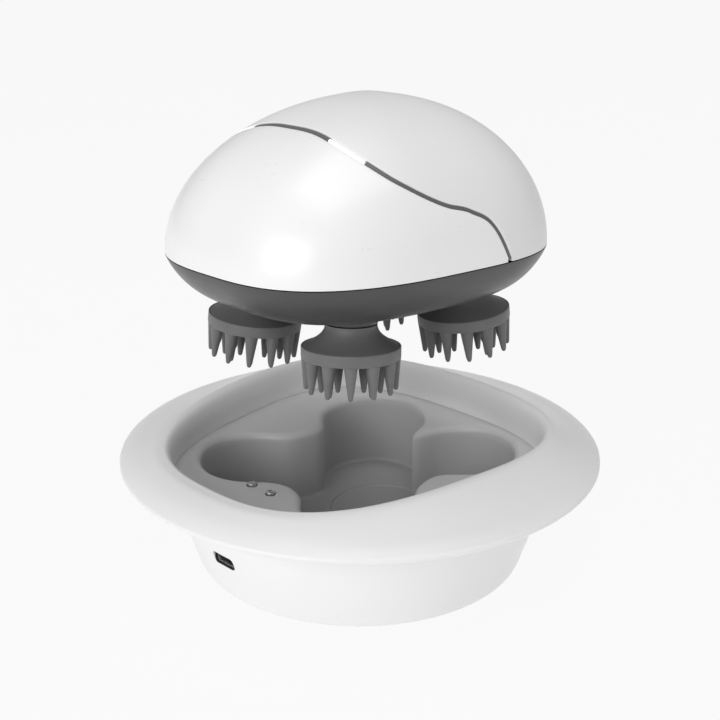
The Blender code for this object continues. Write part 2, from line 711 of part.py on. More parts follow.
def make_tray(materials):
    """Sloping tray with the four-lobed well, one sheet of even thickness."""
    angles = around(64)
    outer = plan_reach(angles) + RECESS_MARGIN + 0.1 * MM
    edge = well_reach(angles, 1.3 * MM)
    spacing = 0.2 * MM
    rings = [ring_at(angles, outer, LEDGE_HEIGHT)]
    for order, share in enumerate((0.985, 0.90, 0.80)):
        radii = np.maximum(plan_reach(angles) * share, edge + (3 - order) * spacing)
        rings.append(tray_ring(angles, radii))
    rings.append(tray_ring(angles, edge))
    rings.append(tray_ring(angles, well_reach(angles, 0.35 * MM), 0.35 * MM))
    rings.append(tray_ring(angles, well_reach(angles), 1.3 * MM))
    for narrowing, height in ((0.5, 3.0), (1.0, 0.9), (2.2, 0.0)):
        rings.append(ring_at(angles, well_reach(angles, -narrowing * MM), FLOOR_HEIGHT + height * MM))
    rings.append(ring_at(angles, np.full_like(outer, 3 * MM), FLOOR_HEIGHT))
    rings.reverse()
    outside = well_reach(angles, TRAY_WALL)
    rings.append(ring_at(angles, outer, LEDGE_HEIGHT - TRAY_WALL))
    slope = np.maximum(plan_reach(angles) * 0.90, outside + spacing)
    rings.append(tray_ring(angles, slope, TRAY_WALL))
    rings.append(tray_ring(angles, outside, TRAY_WALL))
    rings.append(ring_at(angles, well_reach(angles, TRAY_WALL - 1.0 * MM), FLOOR_HEIGHT - TRAY_WALL))
    rings.append(ring_at(angles, np.full_like(outer, 3 * MM), FLOOR_HEIGHT - TRAY_WALL))
    tray = add_object("dock_tray", stacked("dock_tray", rings), materials["tray_grey"])
    pin_holes = rod("pin_holes", 1.65 * MM, 20 * MM, 40 * MM, 16, contact_places())
    cut(tray, add_object("pin_holes", pin_holes, None))
    disc_low, disc_high = FLOOR_HEIGHT - 0.4 * MM, FLOOR_HEIGHT + 2 * MM
    recess = rod("floor_recess", FLOOR_DISC_RADIUS, disc_low, disc_high, 40, (FLOOR_DISC,))
    cut(tray, add_object("floor_recess", recess, None))


def make_shell(materials):
    """Tapered outer wall of the dock with a rounded foot and the opening for the socket."""
    profile = [
        (SHELL_TOP_RADIUS, SHELL_TOP), (58.2 * MM, 22.0 * MM), (55.1 * MM, 12.0 * MM), (52.8 * MM, 5.0 * MM),
        (51.9 * MM, 2.2 * MM), (51.2 * MM, 0.9 * MM), (50.2 * MM, 0.3 * MM), (47.4 * MM, 0.3 * MM),
        (50.6 * MM, 4.2 * MM), (SHELL_TOP_RADIUS - 1.5 * MM, SHELL_TOP)]
    shell = add_object("dock_shell", turned("dock_shell", profile, 52), materials["dock_white"])
    slot = bar("socket_slot", (9.0 * MM, 14 * MM, 4.2 * MM), (0, -54 * MM, SOCKET_HEIGHT))
    cut(shell, add_object("socket_slot", slot, None))


def make_base(materials):
    spots = [(side * SCREW_X, end * SCREW_Y) for side in (-1, 1) for end in (-1, 1)]
    disc = turned("base_plate", ((47.0 * MM, 3.5 * MM), (47.0 * MM, 1.5 * MM)), 36, False)
    plate = add_object("base_plate", disc, materials["black_plastic"])
    cut(plate, add_object("screw_holes", rod("screw_holes", 1.6 * MM, 0, 4.5 * MM, 12, spots), None))
    outer, inner, height = 46.0 * MM, 41.0 * MM, 1.2 * MM
    ring = turned("foot_ring", ((outer, height), (outer, 0), (inner, 0), (inner, height)), 36)
    add_object("foot_ring", ring, materials["rubber"])
    screw = turned("base_screw", ((1.3 * MM, 4.9 * MM), (1.3 * MM, 1.2 * MM), (2.8 * MM, 1.2 * MM),
                                  (2.8 * MM, 0.4 * MM)), 12, False)
    for number, (x, y) in enumerate(spots, 1):
        add_object(f"base_screw_{number}", screw, materials["steel"], None, (x, y, 0))


def make_socket(materials):
    """Micro socket behind the slot: a folded steel shell with its tongue, on a small board."""
    width, depth, height = 7.6 * MM, 6.4 * MM, 3.0 * MM
    front = -54.6 * MM
    shell_item = add_object(
        "socket_shell", bar("socket_shell", (width, depth, height), (0, 0, 0)), materials["steel"],
        None, (0, front + depth / 2, SOCKET_HEIGHT))
    hollow = bar("socket_hollow", (width - 0.8 * MM, depth, height - 0.8 * MM), (0, 0, 0))
    cut(shell_item, add_object("socket_hollow", hollow, None, None,
                               (0, front + depth / 2 - 0.8 * MM, SOCKET_HEIGHT)))
    add_object("socket_tongue", bar("socket_tongue", (4.4 * MM, 3.8 * MM, 0.8 * MM), (0, 0, 0)),
               materials["black_plastic"], None, (0, front + 3.4 * MM, SOCKET_HEIGHT + 0.2 * MM))
    add_object("dock_board", bar("dock_board", (15 * MM, 12 * MM, 1.4 * MM), (0, 0, 0)),
               materials["board_green"], None, (0, -43.5 * MM, SOCKET_HEIGHT - 2.6 * MM))


def make_contact_pins(materials):
    pin_profile = (
        (0.6 * MM, 31.95 * MM), (1.1 * MM, 31.7 * MM), (1.3 * MM, 31.2 * MM), (1.3 * MM, 24.5 * MM))
    pin = turned("contact_pin", pin_profile, 16, False)
    sleeve = turned("pin_sleeve", ((2.05 * MM, 29.0 * MM), (2.05 * MM, 22.0 * MM), (1.6 * MM, 22.0 * MM),
                                   (1.6 * MM, 29.0 * MM)), 16)
    for number, (x, y) in enumerate(contact_places(), 1):
        add_object(f"contact_pin_{number}", pin, materials["steel"], None, (x, y, 0))
        add_object(f"pin_sleeve_{number}", sleeve, materials["black_plastic"], None, (x, y, 0))


def build():
    clear_scene()
    materials = make_materials()
    make_collar(materials)
    make_tray(materials)
    make_shell(materials)
    make_base(materials)
    make_socket(materials)
    make_contact_pins(materials)
    body = frame("massager_frame", (0, 0, DOCKED_HEIGHT + LIFT))
    make_front_cover(materials, body)
    make_rear_cover(materials, body)
    make_strips(materials, body)
    make_lower_housing(materials, body)
    make_joint_ring(materials, body)
    make_gearbox_plate(materials, body)
    make_plate_posts(materials, body)
    make_electrics(materials, body)
    make_drive(materials, body)
    make_heads(materials, body)


build()
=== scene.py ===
"""Looks of a cordless scalp massager hovering above its charging dock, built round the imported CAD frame.

Metres, Z up. The origin is the middle of the dock's underside; the massager's nose and the dock's
charging socket face -Y. Shells are rings of points: one function gives the plan outline, and the
covers, the housing, the collar and the tray all follow it.
"""

import json
import math

import bmesh
import bpy
import numpy as np
from mathutils import Matrix, Vector


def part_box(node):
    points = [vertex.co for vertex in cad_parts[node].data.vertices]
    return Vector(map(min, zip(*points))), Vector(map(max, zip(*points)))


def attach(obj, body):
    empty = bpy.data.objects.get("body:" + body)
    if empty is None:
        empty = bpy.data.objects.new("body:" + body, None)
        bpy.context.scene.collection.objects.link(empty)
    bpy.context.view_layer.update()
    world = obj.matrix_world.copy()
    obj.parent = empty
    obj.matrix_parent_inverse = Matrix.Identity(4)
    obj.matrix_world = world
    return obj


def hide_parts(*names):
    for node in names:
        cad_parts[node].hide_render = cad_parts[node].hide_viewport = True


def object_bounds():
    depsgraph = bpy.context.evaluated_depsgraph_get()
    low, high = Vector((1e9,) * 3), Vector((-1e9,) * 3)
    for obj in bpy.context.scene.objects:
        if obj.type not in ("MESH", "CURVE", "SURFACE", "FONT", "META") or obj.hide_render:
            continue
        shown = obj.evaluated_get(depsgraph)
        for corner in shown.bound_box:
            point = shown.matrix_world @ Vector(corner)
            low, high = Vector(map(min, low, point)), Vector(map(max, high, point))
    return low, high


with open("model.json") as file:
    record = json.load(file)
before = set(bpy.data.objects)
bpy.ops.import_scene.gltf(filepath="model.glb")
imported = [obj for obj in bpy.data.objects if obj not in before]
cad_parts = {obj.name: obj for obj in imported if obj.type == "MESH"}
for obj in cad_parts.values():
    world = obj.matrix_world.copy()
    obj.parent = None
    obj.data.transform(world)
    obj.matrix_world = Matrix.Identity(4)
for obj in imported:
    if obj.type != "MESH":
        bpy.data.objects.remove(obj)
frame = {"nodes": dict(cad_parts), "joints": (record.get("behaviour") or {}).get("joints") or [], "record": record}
CAD_LOW, CAD_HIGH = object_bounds()

MM = 0.001
PI = math.pi
JOINTS = {joint["name"]: joint for joint in frame["joints"]}
SLOTS = {part["node"]: part["material_slot"] for part in frame["record"]["subparts"]}

# Plan outline of the massager and of the recess that takes it
PLAN_LENGTH = 51.7 * MM
PLAN_WIDTH = 47.1 * MM
PLAN_TAPER = 0.17
PLAN_POWER = 2.95
PLAN_CENTRE_Y = -5.8 * MM

# Massager; PARTING is the height of the plane between its covers and its lower housing
LIP = 0.15 * MM
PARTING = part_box("front_cover")[0].z - LIP
DOME_HEIGHT = 41.8 * MM
BELLY_DEPTH = 15.6 * MM
BELLY_POWER = 6.5
APEX_SHIFT = 4.5 * MM
COVER_WALL = 1.6 * MM
HOUSING_WALL = 1.5 * MM
STRIP_WIDTH = 1.05 * MM
EDGE_GAP = 0.06 * MM
KEY_START, KEY_END = 27.0, 44.5
SEAM_KNOTS = (
    (0, 35.8), (27, 34.2), (44, 29.7), (58, 24.4), (77, 17.7), (87, 15.3), (96, 10.0), (101.5, 0.6))
SEAM_END = SEAM_KNOTS[-1][0]

# Brush heads, in the head's own frame: fingers point down
PAD_RADIUS = 14.1 * MM
PAD_HEIGHT = 2.65 * MM
PAD_RIM = 0.85 * MM
HUB_RADIUS = 13.7 * MM
HUB_TOP_RADIUS = 7.35 * MM
HUB_HEIGHT = 7.0 * MM
HUB_FLANGE = 0.9 * MM
HUB_POWER = 2.2
SPINDLE_BORE = 3.05 * MM
NECK_RADIUS = 7.6 * MM
NECK_FOOT, NECK_TOP = 7.3 * MM, 10.6 * MM
BUSH_BORE = 5.9 * MM
FINGER_ROOT = 1.95 * MM
FINGER_TIP = 0.64 * MM
# for each ring of fingers: how many, share of the pad's radius, length, outward lean, offset in steps
FINGER_RINGS = (
    (12, 0.858, 9.5 * MM, 0.6 * MM, 0.5), (8, 0.59, 10.5 * MM, 0.0, 0.0), (4, 0.26, 10.5 * MM, 0.0, 0.5))

# Dock
RIM_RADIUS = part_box("dock_collar")[1].x
SHELL_TOP_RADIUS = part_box("dock_shell")[1].x
RECESS_MARGIN = 1.2 * MM
SIDE_CREST = 1.6 * MM
NOSE_CREST_DROP = 3.0 * MM
TRAY_HEIGHT = 31.0 * MM
LEDGE_HEIGHT = 32.6 * MM
FLOOR_HEIGHT = 6.8 * MM
LOBE_RADIUS = 17.2 * MM
FRONT_LOBE = (23.2 * MM, -23.4 * MM)
BACK_LOBE = (19.4 * MM, 26.2 * MM)
HUB_WELL_RADIUS = 26.2 * MM
HUB_WELL_Y = -3.3 * MM
LOBE_BLEND = 8.0 * MM
FLOOR_DISC = (-4.0 * MM, 13.8 * MM)
FLOOR_DISC_RADIUS = 16.7 * MM
SOCKET_HEIGHT = 15.8 * MM

ROUND_STEPS = 240


# ---------------------------------------------------------------- meshes

def mesh_from(name, shape, crease=35):
    """Turns a bmesh into a smooth-shaded mesh with outward faces and sharp edges past the crease angle."""
    bmesh.ops.recalc_face_normals(shape, faces=shape.faces)
    mesh = bpy.data.meshes.new(name)
    shape.to_mesh(mesh)
    shape.free()
    mesh.shade_smooth()
    mesh.set_sharp_from_angle(angle=math.radians(crease))
    return mesh


def add_skin(shape, rings, closed=False):
    """Joins rings into a surface; closed joins the last to the first, else the ends are capped."""
    loops = [[shape.verts.new(point) for point in ring] for ring in rings]
    count = len(loops[0])
    pairs = list(zip(loops, loops[1:]))
    if closed:
        pairs.append((loops[-1], loops[0]))
    else:
        shape.faces.new(loops[0])
        shape.faces.new(loops[-1])
    for lower, upper in pairs:
        for i in range(count):
            j = (i + 1) % count
            shape.faces.new((lower[i], lower[j], upper[j], upper[i]))


def skin(name, rings, closed=False, crease=35):
    shape = bmesh.new()
    add_skin(shape, np.asarray(rings).tolist(), closed)
    return mesh_from(name, shape, crease)


def turned(name, profile, steps=96, closed=True, crease=35):
    """A profile of (radius, height) points turned round Z."""
    angles = around(steps)
    rings = [ring_at(angles, np.full(steps, radius), height) for radius, height in profile]
    return skin(name, rings, closed, crease)


def around(steps=ROUND_STEPS):
    return np.arange(steps) * 2 * PI / steps


def ring_at(angles, radii, heights):
    heights = np.broadcast_to(heights, angles.shape)
    return np.stack([radii * np.cos(angles), radii * np.sin(angles), heights], -1)


def flowing(points, steps):
    """Refines points along their first axis, on a centripetal Catmull-Rom curve through all of them."""
    points = np.asarray(points, float)
    padded = np.concatenate([2 * points[:1] - points[1:2], points, 2 * points[-1:] - points[-2:-1]])
    spans = np.sqrt(np.linalg.norm(np.diff(padded, axis=0), axis=-1, keepdims=True)) + 1e-9
    made = []
    for i in range(len(points) - 1):
        p0, p1, p2, p3 = padded[i:i + 4]
        d0, d1, d2 = spans[i:i + 3]
        leave = ((p1 - p0) / d0 - (p2 - p0) / (d0 + d1) + (p2 - p1) / d1) * d1
        arrive = ((p2 - p1) / d1 - (p3 - p1) / (d1 + d2) + (p3 - p2) / d2) * d1
        for t in np.arange(steps) / steps:
            made.append(
                (2 * t ** 3 - 3 * t ** 2 + 1) * p1 + (t ** 3 - 2 * t ** 2 + t) * leave
                + (3 * t ** 2 - 2 * t ** 3) * p2 + (t ** 3 - t ** 2) * arrive)
    return np.array(made + [points[-1]])


def corner_arc(centre, radius, start, end, steps=6):
    """Points of a (radius, height) profile on an arc between two angles in degrees."""
    turns = np.radians(np.linspace(start, end, steps))
    return [(centre[0] + radius * math.cos(t), centre[1] + radius * math.sin(t)) for t in turns]


def carved(piece, cutters, operation="DIFFERENCE"):
    """The piece's mesh after booleans with cutter meshes, which are used up."""
    shapes = []
    for mesh in cutters:
        cutter = bpy.data.objects.new("cutter", mesh)
        bpy.context.scene.collection.objects.link(cutter)
        change = piece.modifiers.new("cut", "BOOLEAN")
        change.operation, change.solver, change.object = operation, "EXACT", cutter
        shapes.append(cutter)
    bpy.context.view_layer.update()
    seen = piece.evaluated_get(bpy.context.evaluated_depsgraph_get())
    mesh = bpy.data.meshes.new_from_object(seen)
    piece.modifiers.clear()
    piece.data = mesh
    for cutter in shapes:
        bpy.data.objects.remove(cutter, do_unlink=True)
    mesh.shade_smooth()
    mesh.set_sharp_from_angle(angle=math.radians(35))
    return piece


def place(name, mesh, surface, body, *nodes, matrix=None):
    """Adds a piece that rides on a body and stands for CAD nodes."""
    piece = bpy.data.objects.new(name, mesh)
    bpy.context.scene.collection.objects.link(piece)
    if matrix is not None:
        piece.matrix_world = matrix
    mesh.materials.clear()
    mesh.materials.append(SURFACES[surface])
    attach(piece, body)
    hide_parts(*nodes)
    return piece


# ---------------------------------------------------------------- outline formulas

def plan_share(x, y):
    """How far out a point lies: 1 on the plan outline, 0 in the middle."""
    along = (y - PLAN_CENTRE_Y) / PLAN_LENGTH
    across = x / (PLAN_WIDTH * (1 + PLAN_TAPER * np.clip(along, -1, 1)))
    return (np.abs(along) ** PLAN_POWER + np.abs(across) ** PLAN_POWER) ** (1 / PLAN_POWER)


def reach(angles, inside, limit=80 * MM):
    """The outermost distance from the Z axis, for each angle, at which inside(x, y) still holds."""
    angles = np.asarray(angles, float)
    steps = np.linspace(limit, 0, 240)
    far = np.zeros_like(angles)
    found = np.zeros(angles.shape, bool)
    for step in steps:
        here = inside(step * np.cos(angles), step * np.sin(angles)) & ~found
        far = np.where(here, step, far)
        found |= here
    low, high = far, far + steps[0] - steps[1]
    for _ in range(30):
        middle = (low + high) / 2
        held = inside(middle * np.cos(angles), middle * np.sin(angles))
        low, high = np.where(held, middle, low), np.where(held, high, middle)
    return low


def plan_reach(angles):
    return reach(angles, lambda x, y: plan_share(x, y) < 1)


def blend(first, second, width):
    """Smooth minimum of two distances."""
    mix = np.clip(0.5 + 0.5 * (second - first) / width, 0, 1)
    return second + (first - second) * mix - width * mix * (1 - mix)


def well_distance(x, y):
    """Signed distance, roughly, to the four-lobed outline of the well; negative inside it."""
    nearest = np.minimum(
        np.hypot(np.abs(x) - FRONT_LOBE[0], y - FRONT_LOBE[1]),
        np.hypot(np.abs(x) - BACK_LOBE[0], y - BACK_LOBE[1]))
    hub = np.hypot(x, y - HUB_WELL_Y) - HUB_WELL_RADIUS
    return blend(nearest - LOBE_RADIUS, hub, LOBE_BLEND)


def well_reach(angles, outward=0.0):
    return reach(angles, lambda x, y: well_distance(x, y) < outward)


# ---------------------------------------------------------------- covers of the massager

def dome_point(angle, rise, inset=0.0):
    """A point of the dome in a direction, at a share of its height, moved inward by inset."""
    far = (plan_reach(angle) - inset) * np.sqrt(np.clip(1 - rise ** 2, 0, 1))
    height = LIP + (DOME_HEIGHT - LIP - inset) * rise
    return np.stack(
        [far * np.cos(angle), far * np.sin(angle) + APEX_SHIFT * rise ** 2, PARTING + height], -1)


def seam_rise(degrees):
    """Share of the dome's height at which the inlay runs, by an angle either side of the nose."""
    away = np.abs(degrees)
    knots = np.array(SEAM_KNOTS, float)
    slopes = np.gradient(knots[:, 1], knots[:, 0])
    slopes[0] = 0
    spot = np.clip(np.searchsorted(knots[:, 0], away, side="right") - 1, 0, len(knots) - 2)
    start, end = knots[spot], knots[spot + 1]
    width = end[:, 0] - start[:, 0]
    t = (away - start[:, 0]) / width
    height = (
        (2 * t ** 3 - 3 * t ** 2 + 1) * start[:, 1]
        + (t ** 3 - 2 * t ** 2 + t) * width * slopes[spot]
        + (3 * t ** 2 - 2 * t ** 3) * end[:, 1]
        + (t ** 3 - t ** 2) * width * slopes[spot + 1])
    return height * MM / DOME_HEIGHT


def seam_edge(degrees, sideways):
    """Direction and rise of a line beside the inlay's middle; positive sideways is up the dome."""
    degrees = np.asarray(degrees, float)

    def middle(at):
        return dome_point(np.radians(at - 90), seam_rise(at)) - np.array([0, 0, PARTING])

    points = middle(degrees)
    along = middle(degrees + 0.2) - middle(degrees - 0.2)
    outward = points - np.array([0, APEX_SHIFT / 2, 0])
    outward[:, 2] *= 1.2
    across = np.cross(outward, along)
    across /= np.linalg.norm(across, axis=1)[:, None]
    moved = points + across * sideways
    rise = (moved[:, 2] - LIP) / (DOME_HEIGHT - LIP)
    angle = np.unwrap(np.arctan2(moved[:, 1] - APEX_SHIFT * rise ** 2, moved[:, 0]))
    return angle, rise


def seam_stations(start, end, turning=78):
    """Angles along the inlay between two limits, closer together where it turns steeply down."""
    steep = SEAM_END - (SEAM_END - turning) * np.linspace(1, 0, 49)[1:] ** 2
    half = np.concatenate([np.linspace(0, turning, 79), steep])
    every = np.concatenate([-half[:0:-1], half])
    inside = every[(every > start + 0.05) & (every < end - 0.05)]
    return np.concatenate([[start], inside, [end]])


def between(lower, upper, share):
    turn = np.arctan2(np.sin(upper[0] - lower[0]), np.cos(upper[0] - lower[0]))
    return lower[0] + turn * share, lower[1] + (upper[1] - lower[1]) * share


# how far back from an edge, and how far in, the points of a softened edge lie
SOFT_EDGE = ((0.42 * MM, 0.0), (0.20 * MM, 0.04 * MM), (0.06 * MM, 0.14 * MM), (0.0, 0.34 * MM))


def make_front_cover():
    """Glossy front shell, up to the inlay, with a softened edge along it."""
    stations = seam_stations(-SEAM_END, SEAM_END)
    edge = (STRIP_WIDTH / 2 + EDGE_GAP)
    kept = seam_edge(stations, -edge - SOFT_EDGE[0][0])[1] > 0.018
    stations = stations[kept]
    upper = seam_edge(stations, -edge - SOFT_EDGE[0][0])
    lower = (upper[0], np.zeros_like(upper[1]))
    rows = [dome_point(*between(lower, upper, share)) for share in np.linspace(0, 1, 40)]
    for back, depth in SOFT_EDGE[1:] + ((0.0, COVER_WALL),):
        rows.append(dome_point(*seam_edge(stations, -edge - back), depth))
    for share in np.linspace(1, 0, 12)[1:]:
        rows.append(dome_point(*between(lower, upper, share), COVER_WALL))
    profiles = np.array(rows).transpose(1, 0, 2)
    place("shell_front", skin("shell_front", profiles), "gloss_white", "massager", "front_cover")


def make_rear_cover():
    """Satin rear shell: from the inlay and the parting line over the top to the apex."""
    stations = seam_stations(-SEAM_END, SEAM_END)
    edge = STRIP_WIDTH / 2 + EDGE_GAP
    kept = seam_edge(stations, edge)[1] > 0.004
    stations = stations[kept]
    corner = 0.003
    first, last = seam_edge(stations, edge)[0][[0, -1]]
    back_angles = np.linspace(last + corner, first + 2 * PI - corner, 150)

    def line(back, depth):
        """The cover's edge: beside the inlay over the nose, then along the parting line."""
        angle, rise = seam_edge(stations, edge + back)
        rises = np.concatenate([np.maximum(rise, 0), np.zeros_like(back_angles)])
        return np.concatenate([angle, back_angles]), rises, depth

    def toward_apex(start, share, inset=0.0):
        angle, rises, _ = start
        return dome_point(angle, np.sin(np.arcsin(rises) * (1 - share) + PI / 2 * share), inset)

    soft = [line(back, depth) for back, depth in SOFT_EDGE]
    rings = [toward_apex(soft[0], share) for share in np.linspace(0.994, 0, 64)]
    rings += [dome_point(*edge_line) for edge_line in soft[1:]]
    inner = line(0.0, COVER_WALL)
    rings += [toward_apex(inner, share, COVER_WALL) for share in (0, 0.2, 0.4, 0.6, 0.8, 0.985)]
    place("shell_rear", skin("shell_rear", rings, closed=False), "matt_white", "massager", "rear_cover")


def inlay(name, start, end, sunk, crown, slack=0.0):
    """A length of the inlay: a shallow bar let into the seam, with rounded shoulders."""
    half = STRIP_WIDTH / 2 - slack
    stations = seam_stations(start, end)
    section = (
        (-half, sunk + 1.2 * MM), (-half, sunk + 0.25 * MM), (-half * 0.86, sunk + 0.06 * MM),
        (-half * 0.55, sunk - crown * 0.7), (0, sunk - crown), (half * 0.55, sunk - crown * 0.7),
        (half * 0.86, sunk + 0.06 * MM), (half, sunk + 0.25 * MM), (half, sunk + 1.2 * MM))
    rows = [dome_point(*seam_edge(stations, across), depth) for across, depth in section]
    return skin(name, np.array(rows).transpose(1, 0, 2))


def make_inlay():
    """Dark inlay in three lengths with a bright key bar between each two."""
    clearance = 0.3
    last = SEAM_END - 0.1
    sunk, crown = 0.18 * MM, 0.05 * MM
    for side, start, end in (
            ("middle", -KEY_START + clearance, KEY_START - clearance),
            ("left", -last, -KEY_END - clearance), ("right", KEY_END + clearance, last)):
        mesh = inlay(f"inlay_{side}", start, end, sunk, crown)
        place(f"inlay_{side}", mesh, "strip_grey", "massager", f"trim_strip_{side}")
    for name, start, end in (("mode", -KEY_END, -KEY_START), ("power", KEY_START, KEY_END)):
        mesh = inlay(f"{name}_light_bar", start, end, 0.08 * MM, 0.14 * MM, slack=0.14 * MM)
        place(f"{name}_light_bar", mesh, "light_bar", f"{name}_key", f"{name}_key")


# ---------------------------------------------------------------- lower housing

def belly_ring(angles, share, inset=0.0):
    depth = (BELLY_DEPTH - inset) * (1 - share ** BELLY_POWER) ** 0.87
    return ring_at(angles, (plan_reach(angles) - inset) * share, PARTING - LIP - depth)


def head_frame(place_name):
    """A head's own frame, from its joint: local +Z is the spindle and local +X points outward."""
    joint = JOINTS[f"head_spin_{place_name}"]
    spot, axis = Vector(joint["pos_m"]), Vector(joint["axis"]).normalized()
    outward = Vector((spot.x, spot.y, 0))
    outward = (outward - axis * outward.dot(axis)).normalized()
    turn = Matrix((outward, axis.cross(outward), axis)).transposed().to_4x4()
    return Matrix.Translation(spot) @ turn


HEADS = ("front_left", "front_right", "back_left", "back_right")


def make_lower_housing():
    """Dark bowl under the covers, with a flat belly, a collar round each spindle and two contact wells."""
    angles = around()
    shares = np.sin(np.linspace(math.asin(0.55), PI / 2, 40))
    rings = [ring_at(angles, plan_reach(angles) * 0.3, PARTING - LIP - BELLY_DEPTH)]
    rings += [belly_ring(angles, share) for share in shares]
    rings += [belly_ring(angles, share, HOUSING_WALL) for share in shares[-4::-6]]
    rings.append(ring_at(angles, plan_reach(angles) * 0.3, PARTING - LIP - BELLY_DEPTH + HOUSING_WALL))
    housing = place(
        "housing", skin("housing", rings), "dark_grey", "massager", "lower_housing")
    collars, bores = [], []
    for name in HEADS:
        matrix = head_frame(name)
        collar = turned("collar", (
            (NECK_RADIUS - 0.5 * MM, NECK_FOOT), (NECK_RADIUS - 0.15 * MM, NECK_FOOT + 0.1 * MM),
            (NECK_RADIUS, NECK_FOOT + 0.4 * MM), (NECK_RADIUS, NECK_TOP)), 64, False)
        bore = turned("bore", ((BUSH_BORE, 5 * MM), (BUSH_BORE, 17 * MM)), 48, False)
        for mesh, kept in ((collar, collars), (bore, bores)):
            mesh.transform(matrix)
            kept.append(mesh)
    carved(housing, collars, "UNION")
    wells = []
    for number in (1, 2):
        low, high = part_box(f"charge_contact_{number}")
        centre = (low + high) / 2
        well = turned("well", ((2.6 * MM, -4 * MM), (2.6 * MM, 5 * MM)), 48, False)
        well.transform(Matrix.Translation(centre))
        wells.append(well)
    carved(housing, bores + wells)


def make_charge_contacts():
    """Round contacts let into the belly, over the dock's pins when docked."""
    for number in (1, 2):
        low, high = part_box(f"charge_contact_{number}")
        radius, centre = (high.x - low.x) / 2, (low + high) / 2
        profile = [(0.2 * MM, 0.25 * MM), (radius * 0.6, 0.2 * MM), (radius * 0.75, 0.02 * MM)]
        profile += corner_arc((radius - 0.3 * MM, 0.3 * MM), 0.3 * MM, -90, 0)
        profile += [(radius, high.z - low.z), (0.2 * MM, high.z - low.z)]
        mesh = turned("contact", profile, 64, False)
        mesh.transform(Matrix.Translation((centre.x, centre.y, low.z)))
        place(f"charge_pad_{number}", mesh, SLOTS[f"charge_contact_{number}"], "massager",
              f"charge_contact_{number}")


# ---------------------------------------------------------------- brush heads

def make_hub(name, matrix):
    """Flared hub: a flange set in the pad's rim and a steep concave flank up to the housing's collar."""
    rim = HUB_RADIUS - 0.1 * MM
    spread = HUB_RADIUS - 0.25 * MM - HUB_TOP_RADIUS
    profile = [(0.3 * MM, 0.05 * MM), (rim, 0.05 * MM), (rim, 0.7 * MM)]
    for share in np.linspace(0, 1, 36) ** 1.6:
        height = HUB_FLANGE + (HUB_HEIGHT - HUB_FLANGE) * share
        profile.append((HUB_TOP_RADIUS + spread * (1 - share) ** HUB_POWER, height))
    profile += [(SPINDLE_BORE, HUB_HEIGHT), (SPINDLE_BORE, 2.0 * MM), (0.3 * MM, 2.0 * MM)]
    mesh = turned("hub", profile, 96, False)
    place(f"hub_{name}", mesh, "hub_grey", f"head_{name}", f"head_hub_{name}", matrix=matrix)


def finger_rings(spot, length, lean):
    """Rings of a tapered finger: a flared root sunk in the pad and a rounded tip, leaning by lean."""
    profile = [(FINGER_ROOT, 0.15 * MM), (FINGER_ROOT, -0.15 * MM)]
    for share in np.linspace(0.06, 0.9, 8):
        radius = FINGER_ROOT + (FINGER_TIP - FINGER_ROOT) * share
        profile.append((radius, -length * share))
    tip = FINGER_TIP + 0.05 * MM
    for turn in np.radians((15, 40, 62, 80)):
        profile.append((tip * math.cos(turn), -length + tip * (1 - math.sin(turn))))
    angles = around(20)
    rings = []
    for radius, height in profile:
        shift = lean * max(-height, 0) / length
        ring = ring_at(angles, np.full(angles.shape, radius), -PAD_HEIGHT + height)
        rings.append(ring + np.array([spot.x, spot.y, 0]) * (1 + shift / max(spot.length, MM)))
    return rings


def pad_shape(heading):
    """The round silicone pad with its rim and its fingers, in the head's own frame."""
    shape = bmesh.new()
    profile = [(0.3 * MM, 0), (HUB_RADIUS - 0.05 * MM, 0), (HUB_RADIUS - 0.05 * MM, PAD_RIM - 0.1 * MM)]
    profile += corner_arc((PAD_RADIUS - 0.18 * MM, PAD_RIM - 0.18 * MM), 0.18 * MM, 110, 0, 5)
    profile += corner_arc((PAD_RADIUS - 0.6 * MM, -PAD_HEIGHT + 0.6 * MM), 0.6 * MM, 0, -90)
    profile.append((0.3 * MM, -PAD_HEIGHT))
    angles = around(96)
    add_skin(shape, [ring_at(angles, np.full(96, r), z).tolist() for r, z in profile])
    for count, share, length, lean, offset in FINGER_RINGS:
        for i in range(count):
            turn = 2 * PI * (i + offset) / count - heading
            spot = Vector((math.cos(turn), math.sin(turn), 0)) * share * PAD_RADIUS
            add_skin(shape, [ring.tolist() for ring in finger_rings(spot, length, lean)])
    return mesh_from("pad", shape)


def make_heads():
    """Four pads and hubs; every pad stands the same way round, whatever its head's heading."""
    for name in HEADS:
        matrix = head_frame(name)
        outward = matrix.to_3x3().col[0]
        mesh = pad_shape(math.atan2(outward.y, outward.x))
        place(f"pad_{name}", mesh, "silicone", f"head_{name}", f"brush_pad_{name}", matrix=matrix)
        make_hub(name, matrix)


# ---------------------------------------------------------------- dock

